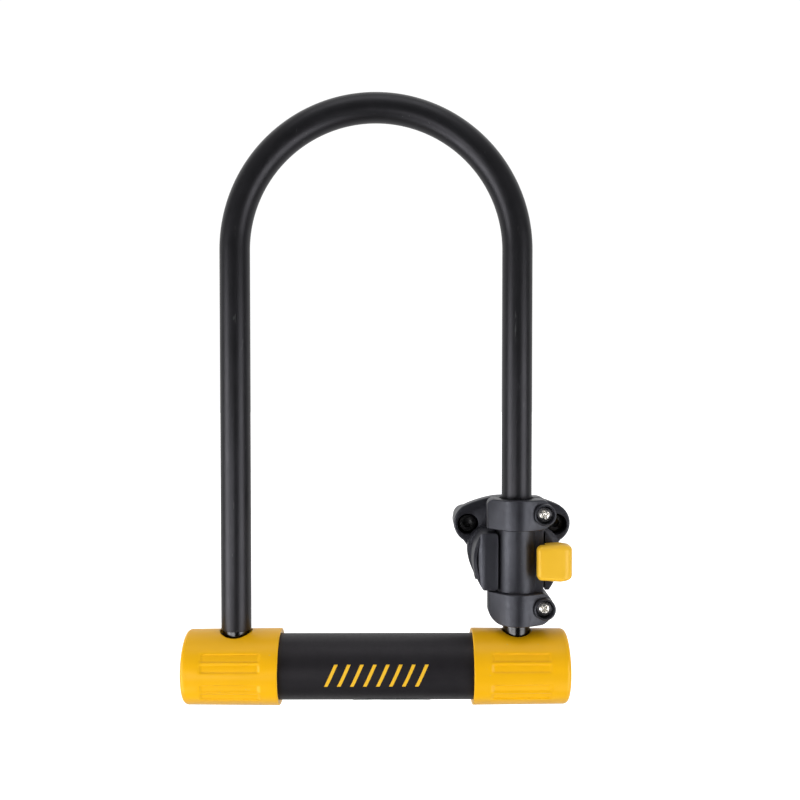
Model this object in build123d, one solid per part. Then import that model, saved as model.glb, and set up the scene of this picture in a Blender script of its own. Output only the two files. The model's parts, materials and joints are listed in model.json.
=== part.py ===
"""U-shaped bicycle lock with a keyed crossbar and a quick-release frame bracket.

Millimetres.  Everything is drawn in the leg frame: x = 0 and y = 0 on the axis of the
right leg, z = 0 on the axis of the crossbar, +z up the legs, -y to the front.  The parts
are exported about the bracket's bore: the axis of the bicycle tube that it clamps, at
the middle of the clamp.
"""

import os
from math import cos, radians, sin, sqrt, tan

from build123d import *

# ---------------------------------------------------------------- driving dimensions
# shackle
INSIDE_WIDTH = 115.0                            # clear width between the coated legs
STEEL_R = 6.5                                   # 13 mm hardened bar
COAT = 0.4                                      # soft vinyl coat on the bar
COAT_R = STEEL_R + COAT
LEG_SPACING = INSIDE_WIDTH + 2 * COAT_R         # axis to axis
BEND_Z = 191.0                                  # centre of the half-round bend
FOOT_R = 6.2                                    # bare, turned foot of each leg
FOOT_TIP_Z = -8.5
COAT_END_LEFT_Z = 17.4
COAT_END_RIGHT_Z = 24.0
NOTCH_DEPTH = 4.8                               # bolt notch on the inner side of a foot
NOTCH_HEIGHT = 8.6

# crossbar, drawn about its own middle
TUBE_R = 14.8
TUBE_BORE_R = 12.0
TUBE_HALF = 82.5
LEG_HOLE_R = 6.6
CORE_R = 11.9                                   # what slides into the tube
SOCKET_IN = LEG_SPACING / 2 - 8.6               # leg socket, from the middle outwards
SOCKET_OUT = LEG_SPACING / 2 + 9.4
PLUG_IN = 74.2                                  # end plug, from the middle outwards
PLUG_PIN_R = 1.5

# end boots, drawn about the crossbar's middle
BOOT_MOUTH = 43.8
BOOT_END = 87.3
BOOT_MOUTH_R = 17.2
BOOT_END_R = 16.8
BOOT_EDGE = 2.2                                 # rounding of the outer end
BOOT_BORE_R = TUBE_R + 0.05
BOOT_HOLE_LEFT_R = 7.4                          # stretched by the coat of the left leg
BOOT_HOLE_RIGHT_R = 6.8
FLUTE_LENGTH = 27.6
FLUTE_WIDTH = 3.5
FLUTE_DEPTH = 0.7
FLUTE_MIDDLE = LEG_SPACING / 2 + 0.7
FLUTE_ANGLES = (29, 13, -18.5, -34.5)           # above the horizontal, front and back

# lock core
BOLT_HALF_Y = 3.8
BOLT_HALF_Z = 3.8
BOLT_TIP = LEG_SPACING / 2 - FOOT_R - 0.8       # drawn back
BOLT_THROW = 5.0
BOLT_CHAMFER = 0.8
BOLT_CLEARANCE = 0.4
TONGUE_LOW, TONGUE_HIGH = 1.7, 3.7              # thin inner end of a bolt
CYLINDER_R = 6.0
BOLT_START = CYLINDER_R + 6.6                   # inner end of its square part
CYLINDER_LOW, CYLINDER_HIGH = -11.2, 1.2
CAM_R = 9.7
CAM_LOW, CAM_HIGH = 4.2, 6.2
CAM_PIN_R = 0.8
CAM_PIN_START = 3.3                             # from the axis, bolts drawn back
WAFER_COUNT = 6
WAFER_PITCH = 1.75

# keyway and its sliding cover, on the underside
KEYWAY_LENGTH, KEYWAY_WIDTH = 7.4, 2.2
COVER_SHIFT = 7.0                               # middle of the bezel from the keyway
BEZEL_LENGTH, BEZEL_WIDTH = 37.0, 16.0
BEZEL_R = TUBE_R + 0.15
COVER_LENGTH, COVER_WIDTH = 15.0, 12.4
COVER_IN_R, COVER_OUT_R = 13.1, 14.2
COVER_PLAY = 0.3                                # round the cover in its track
TRACK_X = (-9.5, 23.5)
TRACK_RIM = 0.5                                 # of the track over the window in its floor
WINDOW_HALF_Y = 5.2
RIB_PITCH, RIB_WIDTH, RIB_HALF_Y = 2.4, 1.2, 4.0

# lock-side clamp (carrier), drawn about the right leg
LINER_BORE_R = COAT_R + 0.05
LINER_R = 8.0
CARRIER_BORE_R = LINER_R + 0.05
BARREL_R = 9.4
BARREL_FLAT_X = -8.8                            # flat flank of the barrel beside the left cheek
BAND_RIGHT = 16.4
BAND_FRONT, BAND_BACK = -12.5, 10.0
BAND_SHOULDER = (-2.0, 2.0)                     # the back slopes from here to its left edge
UPPER_BAND, UPPER_LEFT = (63.9, 77.8), -13.8
LOWER_BAND, LOWER_LEFT = (20.8, 35.5), -13.4
UPPER_CORNERS = (0.8, 3.4)                      # on the left, below and above
LOWER_CORNERS = (7.2, 0.8)
BAND_RIDGE_R = 9.5                              # front of a band, in plan
BAND_SLOPE_LEFT, BAND_SLOPE_RIGHT = 43, 27
BAND_EDGE = 0.6                                 # rounding of its top and bottom
BAND_SHOULDER_R = 2.4
SLIT = 1.5
FLANGE = (7.0, 11.6)                            # across x, beside the barrel
FLANGE_HALF_Y = 5.5
CARRIER_SCREW_X = 11.6
CARRIER_SCREW_Z = (28.6, 71.2)
SCREW_BOSS_R, SCREW_BOSS_Y = 4.9, -11.4         # flat boss round each counterbore
SCREW_BORE_R = 4.1
SCREW_SEAT_Y = -7.4                             # floor of the counterbores
SCREW_HEAD_R, SCREW_HEAD_HEIGHT = 3.2, 2.2
SCREW_CROSS = (3.4, 2.2, 0.75)                  # one arm of the cross recess
SCREW_R = 1.5                                   # M3
NUT_HALF, NUT_Y = 2.75, (6.4, 8.8)              # square nuts
TONGUE_BLOCK = (6.5, 7.0, 15.4)                 # half width, half height, back face

# yellow release button
BUTTON_MID_Z = 49.9
BUTTON_OUTLINE = ((7.8, 7.7), (18.3, 8.4), (23.8, 7.6))   # x and half height
BUTTON_FRONT, BUTTON_BACK = -14.0, -5.9
BUTTON_ROUND_IN, BUTTON_ROUND_OUT, BUTTON_ROUND_ENDS = 1.8, 4.4, 2.4
BUTTON_LIP_BACK = -9.8                          # back of the lip in front of the barrel
BUTTON_LIP_X = 12.2
STEM_X = (12.9, 16.4)
STEM_Z = (46.4, 54.8)
STEM_BACK = 3.0
STEM_MID_Z = sum(STEM_Z) / 2
CATCH_NOTCH_Y = (-3.2, -1.4)                    # in the stem, for the hook of the catch
SPRING_FLOOR_X = STEM_X[0] - 3.4                # pocket in the flange behind the stem
SPRING_THICK, SPRING_WIDTH = 0.4, 6.0

# frame-side clamp
FRAME_TUBE_R = 14.3                             # 28.6 mm bicycle tube
SHIM = 2.1
CLAMP_BORE_R = FRAME_TUBE_R + SHIM
TUBE_Y = 36.0                                   # axis of the bicycle tube
CLAMP_GAP = 1.6
CLAMP_LOW, CLAMP_HIGH = 51.0, 70.0              # rear half and rubber shims
CLAMP_MID_Z = (CLAMP_LOW + CLAMP_HIGH) / 2
CLAMP_FRONT_Y = 16.0
CLAMP_WALL = 4.0
CLAMP_PLATE = 6.0                               # thickness of its arched front plate
CLAMP_EDGE = 0.8
EAR_X, EAR_Z, EAR_R = 21.0, 63.0, 6.3
REAR_EAR_R = 5.2
EAR_BACK_Y = 48.0
BOLT_R = 2.5                                    # M5
BOLT_HOLE_R = 2.75
COUNTERBORE_R, COUNTERBORE_DEPTH = 5.1, 10.0
PLATE_END_X, PLATE_END_Z, PLATE_END_R = 18.1, 63.5, 9.6   # round ends of the plate
ARCH_TOP_Z = 77.0
ARCH_START, SIDE_START = 3.9, 5.1               # from the middle of a round end outwards
CLAMP_SHOULDER_X, CLAMP_FOOT_X = 20.8, 17.4

# receiver, between the two clamps
RECEIVER_Z = (36.5, 62.4)
RECEIVER_FRONT_Y = 10.4
RECEIVER_SIDE = ((14.6, 36.5), (19.2, 42.1), (21.2, 48.2), (21.6, 53.5), (14.4, 62.4))
CHEEK_IN, CHEEK_OUT = BARREL_FLAT_X - 0.2, -20.1   # left cheek, across x
CHEEK_LOW_X, CHEEK_HIGH_X = -15.6, -16.4        # where its round side starts and ends
CHEEK_ROUND_Z = 48.4                            # its widest point
CHEEK_Z = (36.2, 62.2)
CHEEK_CORNER = 1.6                              # rounding beside the barrel
CHEEK_FRONT_Y = -6.0
CHEEK_DOME_X, CHEEK_DOME_R = -14.2, 5.2         # where its flat strip ends and its dome starts
CHEEK_RIM, CHEEK_RIM_Y = 1.5, -5.2
RIGHT_CHEEK_X, RIGHT_CHEEK_Z = 12.6, (36.2, 62.0)
RIGHT_CHEEK_ROUND = ((14.2, 36.2), (18.4, 50.0), (13.6, 62.0))
RIGHT_CHEEK_FRONT_Y = -4.4
RECEIVER_SCREW_X, RECEIVER_SCREW_Z = 11.0, 43.5
LEAF_THICK, LEAF_FRONT_Y = 0.6, -2.9            # sprung catch

CROSSBAR_X = -LEG_SPACING / 2
EXPORT_SHIFT = Pos(0, -TUBE_Y, -CLAMP_MID_Z)


# ---------------------------------------------------------------- helpers
def along_x(radius, x0, x1):
    """A round bar from x0 to x1, on the x axis."""
    return Pos((x0 + x1) / 2, 0, 0) * Rot(0, 90, 0) * Cylinder(radius, x1 - x0)


def along_y(radius, y0, y1, x=0, z=0):
    return Pos(x, (y0 + y1) / 2, z) * Rot(90, 0, 0) * Cylinder(radius, y1 - y0)


def along_z(radius, z0, z1, x=0, y=0):
    return Pos(x, y, (z0 + z1) / 2) * Cylinder(radius, z1 - z0)


def block(x, y, z):
    """A box between the two values of each pair."""
    size = [high - low for low, high in (x, y, z)]
    middle = [(high + low) / 2 for low, high in (x, y, z)]
    return Pos(*middle) * Box(*size)


def front_profile(face, y0, y1):
    """Extrude a face drawn in (x, z) from y0 to y1."""
    return Pos(0, y1, 0) * Rot(90, 0, 0) * extrude(face, y1 - y0)


def both_sides(part):
    """A part and its mirror image about x = 0."""
    return part + mirror(part, about=Plane.YZ)


def at_crossbar(part):
    return Pos(CROSSBAR_X, 0, 0) * part


# ---------------------------------------------------------------- shackle
def bent_bar(radius, left_z, right_z):
    """A round bar down both legs, with its half-round bend."""
    bend_axis = Axis((CROSSBAR_X, 0, BEND_Z), (0, -1, 0))
    section = Pos(0, 0, BEND_Z) * Circle(radius)
    bend = revolve(section, bend_axis, 180)
    right = along_z(radius, right_z, BEND_Z)
    left = along_z(radius, left_z, BEND_Z, x=-LEG_SPACING)
    return bend + right + left


def shackle_foot(top_z):
    """The turned foot of a leg, with a chamfered tip, drawn about the leg."""
    foot = along_z(FOOT_R, FOOT_TIP_Z, top_z)
    return chamfer(foot.edges().sort_by(Axis.Z)[0], 1.2)


def shackle_rod():
    rod = bent_bar(STEEL_R, COAT_END_LEFT_Z, COAT_END_RIGHT_Z)
    rod += shackle_foot(COAT_END_RIGHT_Z)
    rod += Pos(-LEG_SPACING, 0, 0) * shackle_foot(COAT_END_LEFT_Z)
    half = NOTCH_HEIGHT / 2
    notch = block((-FOOT_R - 1, -FOOT_R + NOTCH_DEPTH), (-FOOT_R, FOOT_R), (-half, half))
    rod -= notch
    rod -= Pos(-LEG_SPACING, 0, 0) * mirror(notch, about=Plane.YZ)
    return rod


def shackle_coat():
    coat = bent_bar(COAT_R, COAT_END_LEFT_Z, COAT_END_RIGHT_Z)
    return coat - bent_bar(STEEL_R, COAT_END_LEFT_Z, COAT_END_RIGHT_Z)


# ---------------------------------------------------------------- crossbar
def crossbar_tube():
    tube = along_x(TUBE_R, -TUBE_HALF, TUBE_HALF) - along_x(TUBE_BORE_R, -TUBE_HALF, TUBE_HALF)
    leg_hole = along_z(LEG_HOLE_R, 0, 2 * TUBE_R, x=LEG_SPACING / 2)
    pin_hole = along_y(PLUG_PIN_R, -2 * TUBE_R, 2 * TUBE_R, x=(PLUG_IN + TUBE_HALF) / 2)
    tube -= both_sides(leg_hole + pin_hole)
    return tube - bezel_outline(0.02)


def bezel_outline(grow):
    """The rounded window of the keyway bezel, cut down through the underside."""
    window = SlotOverall(BEZEL_LENGTH + 2 * grow, BEZEL_WIDTH + 2 * grow)
    return Pos(COVER_SHIFT, 0, -2 * TUBE_R) * extrude(window, 2 * TUBE_R)


def end_plug():
    plug = along_x(CORE_R, PLUG_IN, TUBE_HALF)
    return plug - along_y(PLUG_PIN_R, -TUBE_R, TUBE_R, x=(PLUG_IN + TUBE_HALF) / 2)


def end_plug_pins():
    return both_sides(along_y(PLUG_PIN_R, -TUBE_R, TUBE_R, x=(PLUG_IN + TUBE_HALF) / 2))


def leg_socket():
    """Steel guide that a foot stands in, open on the inner side for the bolt."""
    socket = along_x(CORE_R, SOCKET_IN, SOCKET_OUT)
    socket -= along_z(LEG_HOLE_R - 0.05, FOOT_TIP_Z - 0.5, TUBE_R, x=LEG_SPACING / 2)
    half_y = BOLT_HALF_Y + BOLT_CLEARANCE
    half_z = BOLT_HALF_Z + BOLT_CLEARANCE
    return socket - block((SOCKET_IN - 1, LEG_SPACING / 2), (-half_y, half_y), (-half_z, half_z))


def boot_body(inset):
    """Turned shape of a boot, closed at the outer end and set in by inset."""
    points = [
        (BOOT_MOUTH, 0),
        (BOOT_MOUTH, BOOT_MOUTH_R - inset),
        (BOOT_END - inset, BOOT_END_R - inset),
        (BOOT_END - inset, 0),
    ]
    face = make_face(Polyline(*points, close=True))
    corner = face.vertices().filter_by(lambda v: v.Y > 1).sort_by(Axis.X)[-1]
    return revolve(fillet(corner, BOOT_EDGE), Axis.X)


def flutes():
    """Rounded grooves that follow the boot, four in front and four behind."""
    outline = Pos(FLUTE_MIDDLE, 0, 0) * SlotOverall(FLUTE_LENGTH, FLUTE_WIDTH)
    cutter = extrude(outline, 2 * BOOT_MOUTH_R)
    grooves = Part()
    for angle in FLUTE_ANGLES:
        grooves += Rot(90 - angle, 0, 0) * cutter
        grooves += Rot(angle - 90, 0, 0) * cutter
    return grooves - boot_body(FLUTE_DEPTH)


def boot(hole_r):
    """Soft boot over one end of the crossbar, with the hole for a leg in its top."""
    body = boot_body(0) - flutes()
    body -= along_x(BOOT_BORE_R, BOOT_MOUTH - 1, TUBE_HALF + 0.3)
    return body - along_z(hole_r, 0, 2 * TUBE_R, x=LEG_SPACING / 2)


# ---------------------------------------------------------------- lock core
def lock_housing():
    """Round core in the middle of the tube, with the cylinder and the bolt channels."""
    end = SOCKET_IN - 0.2
    housing = along_x(CORE_R, -end, end)
    half_y = BOLT_HALF_Y + BOLT_CLEARANCE
    half_z = BOLT_HALF_Z + BOLT_CLEARANCE
    channel_start = BOLT_START - BOLT_CLEARANCE
    housing -= both_sides(block((channel_start, end + 1), (-half_y, half_y), (-half_z, half_z)))
    housing -= block((-channel_start, channel_start), (-half_y, half_y), (TONGUE_LOW - 0.3, half_z))
    housing -= along_z(CYLINDER_R + 0.06, -2 * CORE_R, CYLINDER_HIGH + 0.2)
    return housing - along_z(CAM_R + 0.4, CAM_LOW - 0.2, 2 * CORE_R)


def deadbolt():
    """Square bolt with a thin inner tongue and the pin that rides in the cam."""
    width = (-BOLT_HALF_Y, BOLT_HALF_Y)
    bolt = block((BOLT_START, BOLT_TIP), width, (-BOLT_HALF_Z, TONGUE_HIGH))
    bolt = chamfer(bolt.faces().sort_by(Axis.X)[-1].edges(), BOLT_CHAMFER)
    bolt += block((CAM_PIN_START - 1.2, BOLT_START + 1), width, (TONGUE_LOW, TONGUE_HIGH))
    return bolt + along_z(CAM_PIN_R, TONGUE_LOW, CAM_HIGH - 0.2, x=CAM_PIN_START)


def spiral_point(turn):
    """Where the cam's slot stands after a turn of the key, in degrees."""
    reach = CAM_PIN_START + BOLT_THROW * turn / 90
    return (reach * cos(radians(turn)), -reach * sin(radians(turn)))


def drive_cam():
    """Scroll disc: its two spiral slots push the bolts out as the key turns."""
    disc = along_z(CAM_R, CAM_LOW, CAM_HIGH)
    centre_line = ThreePointArc(spiral_point(0), spiral_point(45), spiral_point(90))
    slot = Pos(0, 0, CAM_LOW - 1) * extrude(SlotArc(centre_line, 2 * CAM_PIN_R + 0.6), 4)
    return disc - slot - Rot(0, 0, 180) * slot - along_z(1.6, CAM_LOW, CAM_HIGH)


def wafer_levels():
    first = CYLINDER_LOW + 1.8
    return [first + WAFER_PITCH * index for index in range(WAFER_COUNT)]


def key_plug():
    """Turning cylinder with its keyway, wafer slots and the tail that turns the cam."""
    plug = along_z(CYLINDER_R, CYLINDER_LOW, CYLINDER_HIGH)
    for level in wafer_levels():
        plug -= block((-CYLINDER_R, CYLINDER_R), (-2.5, 2.5), (level - 0.45, level + 0.45))
    half_x, half_y = KEYWAY_LENGTH / 2, KEYWAY_WIDTH / 2
    plug -= block((-half_x, half_x), (-half_y, half_y), (CYLINDER_LOW - 1, CYLINDER_HIGH - 1))
    return plug + along_z(1.58, CYLINDER_HIGH - 0.5, CAM_HIGH)


def wafers():
    stack = Part()
    half_x, half_y = KEYWAY_LENGTH / 2 - 0.3, KEYWAY_WIDTH / 2
    for level in wafer_levels():
        plate = block((-5.4, 5.4), (-2.4, 2.4), (level - 0.4, level + 0.4))
        stack += plate - block((-half_x, half_x), (-half_y, half_y), (level - 1, level + 1))
    return stack


def keyway_bezel():
    """Curved insert flush with the tube's underside, with the cover's track."""
    bezel = bezel_outline(0) & along_x(BEZEL_R, -TUBE_HALF, TUBE_HALF)
    bezel -= along_x(TUBE_BORE_R, -TUBE_HALF, TUBE_HALF)
    track = along_x(COVER_OUT_R + COVER_PLAY, *TRACK_X) - along_x(COVER_IN_R - COVER_PLAY, *TRACK_X)
    track_half = COVER_WIDTH / 2 + COVER_PLAY
    bezel -= track & block(TRACK_X, (-track_half, track_half), (-TUBE_R, 0))
    window_x = (TRACK_X[0] + TRACK_RIM, TRACK_X[1] - TRACK_RIM)
    bezel -= block(window_x, (-WINDOW_HALF_Y, WINDOW_HALF_Y), (-TUBE_R - 1, -COVER_IN_R))
    return bezel - along_z(CYLINDER_R + 0.35, -TUBE_R, -TUBE_BORE_R + 2)


def dust_cover():
    """Curved slide over the keyway, with a ribbed thumb rest."""
    half = COVER_LENGTH / 2
    shell = along_x(COVER_OUT_R, -half, half) - along_x(COVER_IN_R, -half, half)
    cover = shell & block((-half, half), (-COVER_WIDTH / 2, COVER_WIDTH / 2), (-TUBE_R, 0))
    for offset in (-RIB_PITCH, 0, RIB_PITCH):
        rib = along_x(TUBE_R - 0.1, offset - RIB_WIDTH / 2, offset + RIB_WIDTH / 2)
        rib -= along_x(COVER_OUT_R - 0.2, -half, half)
        cover += rib & block((-half, half), (-RIB_HALF_Y, RIB_HALF_Y), (-TUBE_R, 0))
    return cover


# ---------------------------------------------------------------- carrier
def band_outline(left, height, corners):
    """Front view of a clamp band: rounded on the left, full round about the screw."""
    middle, half = sum(height) / 2, (height[1] - height[0]) / 2
    body = block((left, BAND_RIGHT - half), (0, 1), height)
    for end, radius in zip((0, -1), corners):
        upright = body.edges().filter_by(Axis.Y).group_by(Axis.X)[0].sort_by(Axis.Z)
        body = fillet(upright[end], radius)
    return body + along_y(half, 0, 1, x=BAND_RIGHT - half, z=middle)


def band_plan(left):
    """Plan view of a band: a rounded ridge in front of the leg, sloping back both ways."""
    slope_left, slope_right = radians(BAND_SLOPE_LEFT), radians(BAND_SLOPE_RIGHT)
    centre_y = BAND_FRONT + BAND_RIDGE_R
    ridge_left = (-BAND_RIDGE_R * sin(slope_left), centre_y - BAND_RIDGE_R * cos(slope_left))
    ridge_right = (BAND_RIDGE_R * sin(slope_right), centre_y - BAND_RIDGE_R * cos(slope_right))
    right = BAND_RIGHT + 1
    left_y = ridge_left[1] + (ridge_left[0] - left) * tan(slope_left)
    right_y = ridge_right[1] + (right - ridge_right[0]) * tan(slope_right)
    back_x, back_y = BAND_SHOULDER
    face = make_face(
        ThreePointArc(ridge_left, (0, BAND_FRONT), ridge_right)
        + Polyline(ridge_right, (right, right_y), (right, BAND_BACK), (back_x, BAND_BACK),
                   (left, back_y), (left, left_y), ridge_left))
    return fillet(face.vertices().group_by(Axis.X)[0], BAND_SHOULDER_R)


def carrier_band(left, height, corners):
    outline = band_outline(left, height, corners)
    face = outline.faces().sort_by(Axis.Y)[0]
    band = Pos(0, BAND_FRONT, 0) * extrude(face, BAND_FRONT - BAND_BACK)
    ridge = Pos(0, 0, height[0]) * extrude(band_plan(left), height[1] - height[0])
    rims = ridge.edges().group_by(Axis.Z)[0] + ridge.edges().group_by(Axis.Z)[-1]
    return band & fillet(rims, BAND_EDGE)


def screw_boss(level):
    """Flat-topped boss round a counterbore, rounded at its rim."""
    boss = along_y(SCREW_BOSS_R, SCREW_BOSS_Y, 0, x=CARRIER_SCREW_X, z=level)
    return fillet(boss.edges().sort_by(Axis.Y)[0], BAND_EDGE)


def screw_cut(level):
    """Counterbore, hole and nut pocket of one carrier screw."""
    cut = along_y(SCREW_BORE_R, BAND_FRONT - 1, SCREW_SEAT_Y, x=CARRIER_SCREW_X, z=level)
    cut += along_y(SCREW_R + 0.1, SCREW_SEAT_Y - 1, BAND_BACK + 1, x=CARRIER_SCREW_X, z=level)
    half = NUT_HALF + 0.05
    return cut + block((CARRIER_SCREW_X - half, CARRIER_SCREW_X + half), (NUT_Y[0], BAND_BACK + 1),
                       (level - half, level + half))


def carrier_shell():
    """One moulding: two screwed bands, the barrel between them and the split flange."""
    between = (LOWER_BAND[1] - 1, UPPER_BAND[0] + 1)
    through = (LOWER_BAND[0] - 1, UPPER_BAND[1] + 1)
    shell = along_z(BARREL_R, *between) - block((-20, BARREL_FLAT_X), (-20, 20), (0, 100))
    shell += block(FLANGE, (-FLANGE_HALF_Y, FLANGE_HALF_Y), between)
    shell += carrier_band(UPPER_LEFT, UPPER_BAND, UPPER_CORNERS)
    shell += carrier_band(LOWER_LEFT, LOWER_BAND, LOWER_CORNERS)
    half_width, half_height, back = TONGUE_BLOCK
    shell += block((-half_width, half_width), (BARREL_R - 1.2, back),
                   (STEM_MID_Z - half_height, STEM_MID_Z + half_height))
    for level in CARRIER_SCREW_Z:
        shell += screw_boss(level)
        shell -= screw_cut(level)
    shell -= along_z(CARRIER_BORE_R, *through)
    shell -= block((5, 20), (-SLIT / 2, SLIT / 2), through)
    return shell - block((SPRING_FLOOR_X, 20), (-FLANGE_HALF_Y, STEM_BACK + 0.4),
                         (STEM_Z[0] - 0.4, STEM_Z[1] + 0.4))


def carrier_screws():
    """Two cross-head screws, with their domed heads in the counterbores."""
    screws = Part()
    for level in CARRIER_SCREW_Z:
        top_y = SCREW_SEAT_Y - SCREW_HEAD_HEIGHT
        head = along_y(SCREW_HEAD_R, top_y, SCREW_SEAT_Y, x=CARRIER_SCREW_X, z=level)
        head = fillet(head.edges().sort_by(Axis.Y)[0], 1.2)
        for turn in (20, 110):
            head -= Pos(CARRIER_SCREW_X, top_y, level) * Rot(0, turn, 0) * Box(*SCREW_CROSS)
        shaft = along_y(SCREW_R, SCREW_SEAT_Y - 0.5, NUT_Y[1] + 0.4, x=CARRIER_SCREW_X, z=level)
        screws += head + shaft
    return screws


def carrier_nuts():
    nuts = Part()
    for level in CARRIER_SCREW_Z:
        nut = block((CARRIER_SCREW_X - NUT_HALF, CARRIER_SCREW_X + NUT_HALF), NUT_Y,
                    (level - NUT_HALF, level + NUT_HALF))
        nuts += nut - along_y(SCREW_R, 0, BAND_BACK, x=CARRIER_SCREW_X, z=level)
    return nuts


def rubber_liner():
    low, high = LOWER_BAND[0] + 0.4, UPPER_BAND[1] - 0.4
    return along_z(LINER_R, low, high) - along_z(LINER_BORE_R, low, high)


# ---------------------------------------------------------------- release button
def release_button():
    """Crowned thumb block with a lip in front of the barrel and a stem behind."""
    ridge_x = BUTTON_OUTLINE[1][0]
    above = [(x, BUTTON_MID_Z + half) for x, half in BUTTON_OUTLINE]
    below = [(x, BUTTON_MID_Z - half) for x, half in reversed(BUTTON_OUTLINE)]
    pad = front_profile(make_face(Polyline(*above, *below, close=True)), BUTTON_FRONT, BUTTON_BACK)
    for side, radius in ((-1, BUTTON_ROUND_OUT), (0, BUTTON_ROUND_IN)):
        upright = pad.edges().filter_by(Axis.Z).group_by(Axis.X)[side]
        pad = fillet(upright.sort_by(Axis.Y)[0], radius)
    crowns = pad.faces().filter_by(lambda face: abs(face.normal_at().Z) > 0.7)
    rims = crowns.edges().filter_by(
        lambda edge: edge.center().Y < BUTTON_BACK - 0.1 and abs(edge.center().X - ridge_x) > 0.1)
    pad = fillet(rims, BUTTON_ROUND_ENDS)
    pad -= block((0, BUTTON_LIP_X), (BUTTON_LIP_BACK, 0), (BUTTON_MID_Z - 10, BUTTON_MID_Z + 10))
    stem = block(STEM_X, (BUTTON_BACK - 1, STEM_BACK), STEM_Z)
    stem -= block((STEM_X[1] - 1.5, 20), CATCH_NOTCH_Y, (STEM_Z[0] - 1, STEM_Z[1] + 1))
    return pad + stem


def release_spring():
    """Bent strip that pushes the stem outwards from the flange."""
    foot_x = SPRING_FLOOR_X + SPRING_THICK / 2
    arch = ThreePointArc((foot_x, -4.0), (STEM_X[0] - 0.3, -1.0), (foot_x, 2.0))
    return Pos(0, 0, STEM_MID_Z - SPRING_WIDTH / 2) * extrude(SlotArc(arch, SPRING_THICK), SPRING_WIDTH)


# ---------------------------------------------------------------- receiver
def receiver_base():
    """Tapered block behind the barrel."""
    low, high = RECEIVER_SIDE[0], RECEIVER_SIDE[-1]
    half = make_face(Spline(*RECEIVER_SIDE) + Polyline(high, (0, high[1]), (0, low[1]), low))
    return both_sides(front_profile(half, RECEIVER_FRONT_Y, CLAMP_FRONT_Y))


def cheek_outline(inset):
    """D shape of the left jaw, seen from the front, drawn in from its round side."""
    low_left, high_left = (CHEEK_LOW_X + inset, CHEEK_Z[0]), (CHEEK_HIGH_X + inset, CHEEK_Z[1])
    face = make_face(
        Polyline(high_left, (CHEEK_IN, CHEEK_Z[1]), (CHEEK_IN, CHEEK_Z[0]), low_left)
        + ThreePointArc(low_left, (CHEEK_OUT + inset, CHEEK_ROUND_Z), high_left))
    return fillet(face.vertices().group_by(Axis.X)[-1], CHEEK_CORNER)


def left_cheek():
    """D-shaped jaw: a flat strip beside the barrel, then a dome inside a raised rim."""
    back_y = RECEIVER_FRONT_Y + 0.5
    centre_y = CHEEK_FRONT_Y + CHEEK_DOME_R
    dome = along_z(CHEEK_DOME_R, *CHEEK_Z, x=CHEEK_DOME_X, y=centre_y)
    dome += block((CHEEK_DOME_X, CHEEK_IN), (CHEEK_FRONT_Y, back_y), CHEEK_Z)
    dome += block((CHEEK_OUT, CHEEK_IN), (centre_y, back_y), CHEEK_Z)
    rim = front_profile(cheek_outline(0), CHEEK_RIM_Y, back_y)
    rim -= front_profile(cheek_outline(CHEEK_RIM), CHEEK_RIM_Y, centre_y)
    return rim + (dome & front_profile(cheek_outline(0), CHEEK_FRONT_Y, back_y))


def right_cheek():
    """Short jaw with a window for the button's stem."""
    low, high = RIGHT_CHEEK_Z
    outline = make_face(
        ThreePointArc(*RIGHT_CHEEK_ROUND)
        + Polyline(RIGHT_CHEEK_ROUND[2], (RIGHT_CHEEK_X, high), (RIGHT_CHEEK_X, low), RIGHT_CHEEK_ROUND[0]))
    cheek = front_profile(outline, RIGHT_CHEEK_FRONT_Y, RECEIVER_FRONT_Y + 0.5)
    return cheek - block((12, 25), (-10, 8.0), (STEM_Z[0] - 2.0, STEM_Z[1] + 2.0))


def receiver():
    body = receiver_base() + left_cheek() + right_cheek()
    half_width, half_height, _ = TONGUE_BLOCK
    body -= block((-half_width - 0.4, half_width + 0.4), (0, CLAMP_FRONT_Y + 1),
                  (STEM_MID_Z - half_height - 0.4, STEM_MID_Z + half_height + 0.4))
    body -= both_sides(along_y(1.5, 11.2, 20, x=RECEIVER_SCREW_X, z=RECEIVER_SCREW_Z))
    return body - catch_leaf()


def catch_leaf():
    """Sprung steel leaf whose hook holds the button's stem."""
    z = (STEM_Z[0] + 1, STEM_Z[1] - 1)
    outer_x = STEM_X[1] + 0.35 + LEAF_THICK
    leaf = block((outer_x - LEAF_THICK, outer_x), (LEAF_FRONT_Y, 13.0), z)
    return leaf + block((STEM_X[1] - 1.2, outer_x), (LEAF_FRONT_Y, LEAF_FRONT_Y + LEAF_THICK), z)


def receiver_screws():
    screw = along_y(1.5, 11.6, 19.8, x=RECEIVER_SCREW_X, z=RECEIVER_SCREW_Z)
    head = along_y(2.9, 19.6, 21.4, x=RECEIVER_SCREW_X, z=RECEIVER_SCREW_Z)
    return both_sides(screw + chamfer(head.edges().sort_by(Axis.Y)[-1], 0.5))


# ---------------------------------------------------------------- frame clamp
def clamp_outline(low, shoulder):
    """Front view of the plate: two round ends joined by an arched saddle."""
    arch_x, side_x = PLATE_END_X + ARCH_START, PLATE_END_X + SIDE_START
    arch_z = PLATE_END_Z + sqrt(PLATE_END_R ** 2 - ARCH_START ** 2)
    side_z = PLATE_END_Z - sqrt(PLATE_END_R ** 2 - SIDE_START ** 2)
    side = ((arch_x, arch_z), (side_x, side_z), (CLAMP_SHOULDER_X, shoulder), (CLAMP_FOOT_X, low))
    other_side = [(-x, z) for x, z in reversed(side)]
    saddle = make_face(
        ThreePointArc(other_side[-1], (0, ARCH_TOP_Z), side[0]) + Polyline(*side, *other_side))
    end = Circle(PLATE_END_R)
    return saddle + Pos(PLATE_END_X, PLATE_END_Z) * end + Pos(-PLATE_END_X, PLATE_END_Z) * end


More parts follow.
